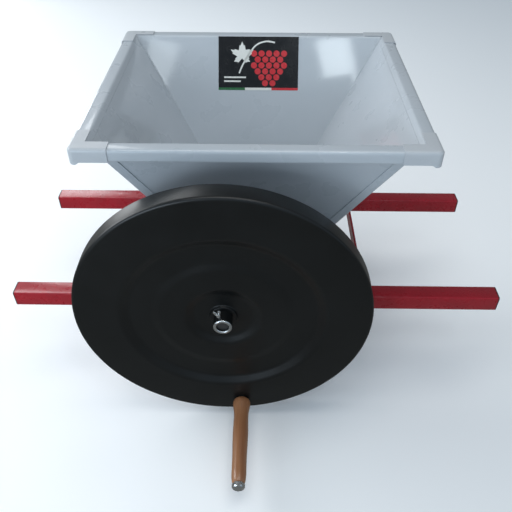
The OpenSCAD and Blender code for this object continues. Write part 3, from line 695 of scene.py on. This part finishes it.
def shell(name, stations):
    """Closed sheet through stations, each of them its left points and its right points in step."""
    bm = bmesh.new()
    grid = [[bm.verts.new(p) for p in left + right[::-1]] for left, right in stations]
    count = len(grid[0])
    for a, b in zip(grid, grid[1:]):
        for j in range(count):
            bm.faces.new((a[j], a[(j + 1) % count], b[(j + 1) % count], b[j]))
    for ring in (grid[0], grid[-1]):
        for j in range(count // 2 - 1):
            bm.faces.new((ring[j], ring[j + 1], ring[count - 2 - j], ring[count - 1 - j]))
    return from_bmesh(name, bm)


def thick_strip(name, path, span, to_point, columns=24):
    """Folded sheet: path is its middle line, span(point) its two ends, to_point makes 3-D points."""
    sides = both_sides(path, SHEET)

    def along(p, share):
        start, end = span(p)
        return to_point(p, start + (end - start) * share)

    shares = [j / columns for j in range(columns + 1)]
    return shell(name, [[[along(p, share) for p in side] for side in sides] for share in shares])


def foot_strip(name, start, end, half_width, to_point):
    """Level flange at the hopper's mouth, from one place to another along its wall's direction."""
    z = MOUTH_Z + SHEET / 2
    span = (-half_width, half_width)
    return thick_strip(name, [Vector((start, z)), Vector((end, z))], lambda p: span, to_point, 2)


def end_wall(node, way):
    """Front (-1) or rear (1) sheet, with its rim and the foot that is bolted to the end plate."""
    edge = FRONT_Y if way < 0 else REAR_Y
    half = SHEET / 2
    path = fillet(rim_path(edge, way) + [(way * (MOUTH_HALF_Y + half), MOUTH_Z + half)], 3 * MM)

    def span(p):
        below = way * p.x < way * edge + half
        reach = climb(min(p.y, RIM_Z), MOUTH_HALF_X, RIM_HALF_X) if below else RIM_HALF_X
        return -reach, reach

    def to_point(p, s):
        return s, p.x, p.y

    wall = thick_strip(node + "_sheet", path, span, to_point)
    foot_end = high("rear_end_plate").y - 0.5 * MM
    foot = foot_strip(node + "_foot", way * (MOUTH_HALF_Y + half), way * foot_end,
                      MOUTH_HALF_X - FLANGE - 2 * MM, to_point)
    wall = join(node + "_folded", [wall, foot])
    finish_piece(wall, 50, "hopper_paint", "frame", node)


def side_wall(node, way):
    """Left (-1) or right (1) sheet, its edges lapped round the end walls, and its rim."""
    half = SHEET / 2
    edge = way * RIM_HALF_X
    join_z = RIM_Z - 8 * MM
    join_x = way * (climb(join_z, MOUTH_HALF_X, RIM_HALF_X) + half)
    path = fillet(rim_path(edge, way) + [(join_x, join_z)], 3 * MM)

    def span(p):
        z = min(p.y, RIM_Z)
        if way * p.x > way * edge + half:
            return FRONT_Y, REAR_Y
        return climb(z, -MOUTH_HALF_Y, FRONT_Y), climb(z, MOUTH_HALF_Y, REAR_Y)

    def to_point(p, s):
        return p.x, s, p.y

    rim = thick_strip(node + "_rim", path, span, to_point)
    stations, steps = [], 12
    for i in range(steps + 1):
        z = MOUTH_Z + (join_z - MOUTH_Z) * i / steps
        x = climb(z, MOUTH_HALF_X, RIM_HALF_X) + half
        front = climb(z, -MOUTH_HALF_Y, FRONT_Y) - SHEET - half
        rear = climb(z, MOUTH_HALF_Y, REAR_Y) + SHEET + half
        line = fillet([(x - FLANGE, front), (x, front), (x, rear), (x - FLANGE, rear)], 2 * MM)
        stations.append([[(way * p.x, p.y, z) for p in side] for side in both_sides(line, SHEET)])
    panel = shell(node + "_panel", stations)
    foot = foot_strip(node + "_foot", way * (MOUTH_HALF_X + half), way * high("right_side_plate").x,
                      MOUTH_HALF_Y - 1 * MM, to_point)
    wall = join(node + "_folded", [panel, rim, foot])
    finish_piece(wall, 50, "hopper_paint", "frame", node)


def make_corner_welds():
    """Seam beads down the four inside corners of the hopper, longest at the rear left."""
    beads = []
    inset = 0.6 * MM
    for k, (sx, sy, share) in enumerate(((-1, 1, 0.55), (1, 1, 0.3), (-1, -1, 0.3), (1, -1, 0.3))):
        line = []
        for z in (RIM_Z - 3 * MM, RIM_Z - share * (RIM_Z - MOUTH_Z)):
            x = sx * (climb(z, MOUTH_HALF_X, RIM_HALF_X) - inset)
            y = climb(z, sy * MOUTH_HALF_Y, REAR_Y if sy > 0 else FRONT_Y) - sy * inset
            line.append((x, y, z))
        beads.append(weld(line, 1.5 * MM, 40 + k))
    beads = join("hopper_seam_beads", beads)
    finish_piece(beads, 60, "hopper_paint", "frame")


def make_corner_covers():
    """Thin moulded caps over the rim's corners, round in plan, with a small ear at the bottom."""
    hi = high("hopper_corner_covers")
    thick, turn, skirt, ear = 1.2 * MM, 8 * MM, RIM_H, 3.8 * MM
    outward = hi.x - RIM_HALF_X - RIM_W - thick / 2
    level = hi.z - RIM_Z - thick / 2
    line = fillet([(0.6 * MM - RIM_W, level), (outward, level, 5.5 * MM), (outward, -0.5 * skirt),
                   (outward, -skirt)], 1 * MM)
    sides = both_sides(line, thick)
    along = (8, 9, 11, 14, 17, 22, 30, 40, 50, 58)
    places = [("leg", d * MM) for d in reversed(along)]
    places += [("turn", math.radians(90 - 10 * k)) for k in range(1, 9)]
    places += [("other", d * MM) for d in along]

    def point(kind, at, p):
        """A place on one cover: kind and at say how far round the corner, p where in its section."""
        u = p.x
        near = 1.0 if kind == "turn" else max(0.0, 1 - (at - turn) / (7 * MM))
        share = near * near * (3 - 2 * near)
        v = p.y - ear * share * max(0.0, (-p.y / skirt - 0.5) * 2)
        if kind == "turn":
            if u < -turn:
                return Vector((u, u, v))
            return Vector((-turn + (turn + u) * math.cos(at), -turn + (turn + u) * math.sin(at), v))
        back = min(-at, u) if u < -turn else -at
        return Vector((back, u, v)) if kind == "leg" else Vector((u, back, v))

    covers = []
    for sx in (-1, 1):
        for sy, edge in ((-1, FRONT_Y - RIM_W), (1, REAR_Y + RIM_W)):
            corner = Vector((sx * (RIM_HALF_X + RIM_W), edge, RIM_Z))
            flip = Vector((sx, sy, 1))
            stations = [[[corner + flip * point(kind, at, p) for p in side] for side in sides]
                        for kind, at in places]
            covers.append(shell("cover", stations))
    covers = join("corner_covers_moulded", covers)
    finish_piece(covers, 50, "cover_plastic", "frame", "hopper_corner_covers")


def ink(outline, level, to_label):
    """Thin patch of printing ink with its underside just above the label."""
    bm = bmesh.new()
    lower = [bm.verts.new((p[0], p[1], level)) for p in outline]
    upper = [bm.verts.new((p[0], p[1], level + 0.04 * MM)) for p in outline]
    bm.faces.new(lower)
    bm.faces.new(upper)
    for i in range(len(outline)):
        j = (i + 1) % len(outline)
        bm.faces.new((lower[i], lower[j], upper[j], upper[i]))
    return place(from_bmesh("ink", bm, False), to_label)


def leaf_outline(centre, size):
    """Vine leaf with five pointed lobes, the middle one upwards."""
    tips = [(90, 1.0), (150, 0.92), (212, 0.66), (328, 0.66), (30, 0.92)]
    outline = []
    for k, (angle, reach) in enumerate(tips):
        after, far = tips[(k + 1) % len(tips)]
        turn = (after - angle) % 360
        deep = 0.2 if turn > 100 else 0.5
        edge = ((0, 1), (0.16, 0.72), (0.22, 0.78), (0.5, deep), (0.78, 0.78), (0.84, 0.72))
        for share, depth in edge:
            around = math.radians(angle + turn * share)
            length = size * depth * (reach if share < 0.5 else far)
            outline.append((centre[0] + length * math.cos(around),
                            centre[1] + length * math.sin(around)))
    return outline


def rectangle(left, bottom, right, top):
    return [(left, bottom), (right, bottom), (right, top), (left, top)]


def make_label_print():
    """Generic printed mark: a bunch of red grapes, a pale leaf and stem, and pale rules below."""
    lo, hi = low("label"), high("label")
    slope = Vector((0, REAR_Y - MOUTH_HALF_Y, RIM_Z - MOUTH_Z)).normalized()
    face = Vector((0, -slope.z, slope.y))
    centre = middle("label")
    half_w = (hi.x - lo.x) / 2
    half_h = (hi.z - lo.z) / 2 / slope.z
    to_label = Matrix(((1, slope.x, face.x, centre.x), (0, slope.y, face.y, centre.y),
                       (0, slope.z, face.z, centre.z), (0, 0, 0, 1)))
    level, grape = 0.17 * MM, 8.2 * MM
    radius = 0.78 * grape
    red, pale = [], []
    for row, count in enumerate((5, 4, 5, 4, 3, 2)):
        for k in range(count):
            x = 22 * MM + (k - (count - 1) / 2) * 1.9 * grape
            y = 20 * MM - row * 1.45 * grape
            red.append([(x + radius * math.cos(a), y + radius * math.sin(a)) for a in turns(18)])
    pale.append(leaf_outline((-34 * MM, 14 * MM), 30 * MM))
    stem = [Vector(p) * MM for p in ((-40, -20), (-30, 2), (-8, 34), (14, 44), (34, 42))]
    left, right = both_sides(smooth_curve(stem, 6), 3.2 * MM)
    pale.append(left + right[::-1])
    start, rule = -0.86 * half_w, 1.6 * MM
    for y, reach in ((-28 * MM, 0.55 * half_w), (-36 * MM, 0.42 * half_w)):
        pale.append(rectangle(start, y - rule, start + reach, y + rule))
    edge = 5 * MM - half_h
    thirds = [half_w * (2 * k / 3 - 1) for k in range(4)]
    strips = [rectangle(a, -half_h, b, edge) for a, b in zip(thirds, thirds[1:])]
    pale.append(strips[1])
    red.append(strips[2])
    for name, colour, outlines, lift in (("red_ink", (0.55, 0.012, 0.02), red, 0.0),
                                         ("pale_ink", (0.72, 0.71, 0.66), pale, 0.05 * MM),
                                         ("green_ink", (0.01, 0.12, 0.03), strips[:1], 0.0)):
        patch = join("label_" + name, [ink(outline, level + lift, to_label) for outline in outlines])
        finish_piece(patch, 0, "label_print", "frame", material=moulded_plastic(name, colour, 0.28))


end_wall("hopper_front_wall", -1)
end_wall("hopper_rear_wall", 1)
side_wall("hopper_left_wall", -1)
side_wall("hopper_right_wall", 1)
make_corner_welds()
make_corner_covers()
make_label_print()


# ---------- flywheel ----------

def wheel_section():
    """Outline of the wheel's section: radius, distance behind the front face and corner radius."""
    face = [(22.5, 8, 0.8), (24, 13, 1.5), (51, 13, 5), (66, 6, 5),
            (108, 6, 4), (122, 9, 4), (159, 9, 4), (175, 0, 5)]
    web, hub, depth, bore = 5, 34, 36, 16
    rim = (high("flywheel").x - low("flywheel").x) / 2 / MM
    points = [(bore, 8), *face, (rim, 0, 6), (rim, depth, 2)]
    points += [(rim - web, depth, 2), (rim - web, web, 6)]
    points += [(r - 1, d + web, 5) for r, d, _ in reversed(face) if r > hub + 10]
    points += [(hub + 1, 13 + web, 5), (hub, depth, 2), (bore, depth, 1)]
    return [p * MM for p in fillet(points, 1, 5)]


def make_flywheel():
    """Cast wheel: one turned section and eight ribs behind its web."""
    centre = middle("flywheel")
    to_wheel = axis_frame((centre.x, low("flywheel").y, centre.z), (0, 1, 0))
    pieces = [place(lathe("disc", wheel_section(), 180, closed=True), to_wheel)]
    pieces += [make_rib(to_wheel, angle + math.radians(22.5)) for angle in turns(8)]
    finish_piece(join("flywheel_casting", pieces), 40, "black_wheel", "drive_assembly", "flywheel")


def make_rib(to_wheel, angle):
    """Rib behind the web, thinner towards its back edge, with a rounded back edge."""
    stations = [(33, 17), (50, 17), (62, 12), (100, 10), (125, 13), (158, 13), (170, 7), (247, 4)]
    to_rib = to_wheel @ Matrix.Rotation(angle, 4, "Z")
    rows = []
    for radius, front in stations:
        side = [(3.2, front), (2.5, front + 4), (2.0, 32), (1.2, 33)]
        rows.append([Vector((radius, s, d)) * MM for s, d in [(-s, d) for s, d in side] + side[::-1]])
    return place(from_grid("rib", rows, closed_columns=True), to_rib)


HEAD_SHARE = 0.65   # a bolt head's height for each millimetre of thread
FLATS_SHARE = 1.65  # width across the flats of a head or nut, likewise
HEX_STEPS = 36      # points round a head or nut


def hex_radius(flats, angle):
    """Distance from a hexagon's middle to its outline, in one direction."""
    return flats / 2 / math.cos(angle % math.radians(60) - math.radians(30))


def hex_head(flats, height):
    """Hexagon along local Z from 0 to height, its top corners turned off."""
    chamfer = 0.12 * flats
    corner = hex_radius(flats, 0)
    rows = [[Vector()] * HEX_STEPS]
    for top in (0, 1):
        row = []
        for angle in turns(HEX_STEPS):
            radius = hex_radius(flats, angle)
            drop = chamfer * (radius - flats / 2) / (corner - flats / 2)
            row.append((radius * math.cos(angle), radius * math.sin(angle), top * (height - drop)))
        rows.append(row)
    for radius in (0.97 * flats / 2, 0):
        rows.append([(radius * math.cos(a), radius * math.sin(a), height) for a in turns(HEX_STEPS)])
    return from_grid("head", rows, closed_columns=True)


def threaded(radius, start, end, pitch):
    """Profile of a shank whose end is threaded: rings, not a helix."""
    profile = [(0, start), (radius, start)]
    at = start
    while at + pitch <= end - pitch:
        profile += [(radius, at + 0.1 * pitch), (radius - 0.5 * pitch, at + 0.5 * pitch),
                    (radius, at + 0.9 * pitch)]
        at += pitch
    profile += [(radius - 0.3 * pitch, end - 0.4 * pitch), (radius - 0.8 * pitch, end), (0, end)]
    return profile


def bolt(matrix, diameter, length, thread):
    """Hexagon bolt: head before local Z = 0, shank along +Z."""
    head = hex_head(FLATS_SHARE * diameter, HEAD_SHARE * diameter)
    place(head, Matrix.Rotation(math.pi, 4, "X"))
    shank = [(0, -0.2 * MM), (diameter / 2, -0.2 * MM)]
    shank += threaded(diameter / 2, length - thread, length, diameter * 0.14)[1:]
    return [place(head, matrix), place(lathe("shank", shank, 24), matrix)]


def nut(matrix, diameter, height):
    """Hexagon nut along local Z from 0, both ends chamfered, with its bore."""
    flats = FLATS_SHARE * diameter
    rows = []
    for level, flat_end in ((0, True), (0.12, False), (0.88, False), (1, True)):
        radii = [0.49 * flats if flat_end else hex_radius(flats, a) for a in turns(HEX_STEPS)]
        rows.append((radii, level * height))
    for level, grow in ((1, 1.12), (0.9, 1), (0.1, 1), (0, 1.12)):
        rows.append(([diameter / 2 * grow] * HEX_STEPS, level * height))
    rows = [[(r * math.cos(a), r * math.sin(a), z) for r, a in zip(radii, turns(HEX_STEPS))]
            for radii, z in rows]
    return place(from_grid("nut", rows, closed_rows=True, closed_columns=True), matrix)


def wing_screw(matrix, diameter, length):
    """Pressed wing screw: bearing face at the origin, wings towards +Z, shank towards -Z."""
    d = diameter
    shank = [(0, -length), (0.42 * d, -length), (0.5 * d, 0.15 * d - length)]
    boss = [(0.5, -0.05), (0.58, 0), (0.625, 0.08), (0.6, 0.9), (0.5, 1.2), (0.3, 1.25), (0, 1.25)]
    parts = [place(lathe("boss", shank + [(r * d, z * d) for r, z in boss], 32), matrix)]
    for side in (-1, 1):
        rows = []
        normal = Vector((0.952, 0, -0.306 * side))
        for t, wide in ((0, 0.34), (0.2, 0.38), (0.4, 0.4), (0.6, 0.4), (0.8, 0.4), (0.95, 0.38),
                        (1.05, 0.31), (1.12, 0.2), (1.16, 0.08)):
            along = Vector((side * (0.3 + 0.45 * t), 0, 0.7 + 1.4 * t)) * d
            thick = (0.2 - 0.04 * t) * (1 if t < 1 else 0.7)
            rows.append([along + (normal * wide * math.cos(a) + Vector((0, thick * math.sin(a), 0))) * d
                         for a in turns(12)])
        parts.append(place(from_grid("wing", capped(rows), closed_columns=True), matrix))
    return parts


def make_hub():
    """Hub tube painted with the wheel, with a bare machined lip at its end round the drive shaft."""
    lo, hi = low("flywheel_hub"), high("flywheel_hub")
    centre = middle("flywheel_hub")
    outer, bore, length, edge = (hi.x - lo.x) / 2, 10 * MM, hi.y - lo.y, 0.9 * MM
    to_hub = axis_frame((centre.x, lo.y, centre.z), (0, 1, 0))
    painted = [(bore, 2 * MM), (outer - 0.1 * MM, 2 * MM), (outer, 2.4 * MM), (outer, length - edge),
               (outer - edge, length), (bore, length)]
    tube = place(lathe("hub_tube", painted, 96, closed=True), to_hub)
    finish_piece(tube, 40, "black_wheel", "drive_assembly", "flywheel_hub")
    middle_r, half = (outer + bore) / 2 + 0.2 * MM, (outer - bore) / 2 - 0.3 * MM
    bare = [(middle_r + half * math.cos(a), 2 * MM - 1.9 * MM * math.sin(a))
            for a in (math.radians(15 * k) for k in range(13))]
    bare += [(middle_r - half, 2 * MM), (middle_r + half, 2 * MM)]
    lip = place(lathe("hub_lip", bare, 96, closed=True), to_hub)
    finish_piece(lip, 50, "zinc", "drive_assembly")


def make_wing_bolt():
    """Wing bolt that clamps the hub to the drive shaft, leaning to the left."""
    tilt, seat, ahead = math.radians(-18), 18 * MM, 7.5 * MM
    hub = middle("flywheel_hub")
    way = Vector((math.sin(tilt), 0, math.cos(tilt)))
    start = Vector((hub.x, low("flywheel").y - ahead, hub.z)) + way * seat
    screw = join("wing_bolt_pressed", wing_screw(axis_frame(start, way), 6 * MM, 8 * MM))
    finish_piece(screw, 40, "zinc", "drive_assembly", "wing_bolt")


def make_crank():
    """Shoulder bolt that the grip turns on, with its washer and the nut behind the wheel's web."""
    lo, hi = low("crank_bolt"), high("crank_bolt")
    centre = middle("crank_bolt")
    d, thread_d = 12 * MM, 10 * MM
    face = lo.y + HEAD_SHARE * d
    shoulder = low("crank_washer").y
    to_shoulder = axis_frame((centre.x, shoulder, centre.z), (0, 1, 0))
    pieces = bolt(axis_frame((centre.x, face, centre.z), (0, 1, 0)), d, shoulder - face, 0)
    thread = [(0, -1 * MM), (thread_d / 2, -1 * MM)]
    thread += threaded(thread_d / 2, 4 * MM, hi.y - shoulder, 1.5 * MM)[1:]
    pieces.append(place(lathe("thread", thread, 32), to_shoulder))
    crank = join("crank_bolt_turned", pieces)
    finish_piece(crank, 35, "zinc", "drive_assembly", "crank_bolt")
    ring = [(5.1, 0), (9.7, 0), (10, 0.3), (10, 0.7), (9.7, 1), (5.1, 1)]
    washer = lathe("crank_washer_pressed", [(r * MM, z * MM) for r, z in ring], 48, closed=True)
    place(washer, to_shoulder)
    finish_piece(washer, 35, "zinc", "drive_assembly", "crank_washer")
    finish_nuts("crank_nut", thread_d, "drive_assembly")


def make_grip():
    """Turned wooden grip with a smooth curve through its section."""
    lo, hi = low("grip"), high("grip")
    centre = middle("grip")
    length = 168
    curve = [Vector(p) for p in (
        (7.5, 0), (11.6, 0), (12.5, 0.3), (15, 2.5), (16.4, 6), (16.6, 9), (16.3, 13), (15.6, 18),
        (14.4, 26), (13.6, 38), (13.8, 50), (14.2, 68), (14.0, 86), (13.4, 104), (13.0, 122),
        (12.9, 136), (13.0, 150), (12.6, 158), (11.6, 164.6), (10.4, 167.4), (9.4, length),
        (7.5, length))]
    reach = (hi.y - lo.y) / length
    points = curve[:2] + smooth_curve(curve[2:-2], 4) + curve[-2:]
    grip = lathe("turned_grip", [(p.x * MM, p.y * reach) for p in points], 96, closed=True)
    place(grip, axis_frame((centre.x, hi.y, centre.z), (0, -1, 0)))
    finish_piece(grip, 55, "varnished_wood", "grip_assembly", "grip")


# ---------- fasteners placed from the CAD ----------

def islands(node):
    """The separate solids of a CAD node, each as a list of its points."""
    mesh = NODES[node].data
    parent = list(range(len(mesh.vertices)))

    def root(i):
        while parent[i] != i:
            parent[i] = parent[parent[i]]
            i = parent[i]
        return i

    for edge in mesh.edges:
        parent[root(edge.vertices[0])] = root(edge.vertices[1])
    seen = {}
    groups = {}
    for i, vertex in enumerate(mesh.vertices):
        key = tuple(round(c, 6) for c in vertex.co)
        if key in seen:
            parent[root(i)] = root(seen[key])
        seen[key] = i
    for i, vertex in enumerate(mesh.vertices):
        groups.setdefault(root(i), []).append(vertex.co.copy())
    return list(groups.values())


def extent(points):
    lo = Vector([min(p[k] for p in points) for k in range(3)])
    hi = Vector([max(p[k] for p in points) for k in range(3)])
    return lo, hi, (lo + hi) / 2


def finish_bolts(node, d, axis=1):
    """Turned bolts in place of a node's plain ones. The head is at the wider end."""
    pieces = []
    for points in islands(node):
        lo, hi, centre = extent(points)

        def spread(end):
            near = [p for p in points if abs(p[axis] - end) < 0.1 * MM]
            return max(math.dist([p[k] for k in range(3) if k != axis],
                                 [centre[k] for k in range(3) if k != axis]) for p in near)

        way = Vector((0, 0, 0))
        head_low = spread(lo[axis]) > spread(hi[axis])
        way[axis] = 1 if head_low else -1
        at, head = centre.copy(), HEAD_SHARE * d
        at[axis] = lo[axis] + head if head_low else hi[axis] - head
        length = hi[axis] - lo[axis] - head
        pieces += bolt(axis_frame(at, way), d, length, min(length * 0.55, 2.2 * d))
    finish_piece(join(node + "_turned", pieces), 35, "zinc", "frame", node)


def finish_nuts(node, d, body, axis=1):
    """Chamfered nuts in place of a node's plain ones."""
    pieces = []
    for points in islands(node):
        lo, hi, centre = extent(points)
        at, way = centre.copy(), Vector((0, 0, 0))
        at[axis], way[axis] = lo[axis], 1
        pieces.append(nut(axis_frame(at, way), d, hi[axis] - lo[axis]))
    finish_piece(join(node + "_turned", pieces), 35, "zinc", body, node)


def make_cage_screws():
    """Wing screws that hold the cage. The shank's far end is the one nearer the middle."""
    pieces = []
    for points in islands("cage_wing_screws"):
        lo, hi, centre = extent(points)
        side = 1 if centre.x > 0 else -1
        seat = high("right_side_plate").x
        to_seat = axis_frame((side * seat, centre.y, centre.z), (side, 0, 0), (0, 0, 1))
        pieces += wing_screw(to_seat, 6 * MM, seat - min(abs(lo.x), abs(hi.x)))
    screws = join("cage_wing_screws_pressed", pieces)
    finish_piece(screws, 40, "zinc", "frame", "cage_wing_screws")


def soften_cad():
    """Small edge rounds, in millimetres, on the CAD parts that keep their own shape."""
    widths = {
        0.3: ("destemmer_cage",),
        0.4: ("left_side_plate", "right_side_plate", "gear_guard", "stem_chute", "drive_gear",
              "driven_gear", "idler_gear", "beater_pinion", "idler_bush", "grip_bush"),
        0.5: ("front_end_plate", "rear_end_plate", "gear_plate", "idler_axle"),
        0.6: ("roller_bushes", "beater_bushes", "flywheel_bush", "drive_collar", "driven_collar",
              "beater_collar"),
        0.7: ("left_tie", "right_tie", "rear_bearing_strap"),
        0.8: ("beater_paddles",),
        0.9: ("drive_shaft", "driven_shaft", "beater_shaft"),
        1.0: ("drive_roller", "driven_roller"),
    }
    for width, nodes in widths.items():
        for node in nodes:
            bevel(NODES[node], width * MM)


make_flywheel()
make_hub()
make_wing_bolt()
make_crank()
make_grip()
finish_bolts("body_bolts", 8 * MM)
finish_nuts("body_nuts", 8 * MM, "frame")
finish_bolts("hopper_bolts", 6 * MM, 2)
finish_nuts("hopper_nuts", 6 * MM, "frame", 2)
for screws_node in ("guard_screws", "strap_screws", "chute_screws"):
    finish_bolts(screws_node, 5 * MM)
finish_nuts("idler_axle_nut", 16 * MM, "frame")
make_cage_screws()
soften_cad()
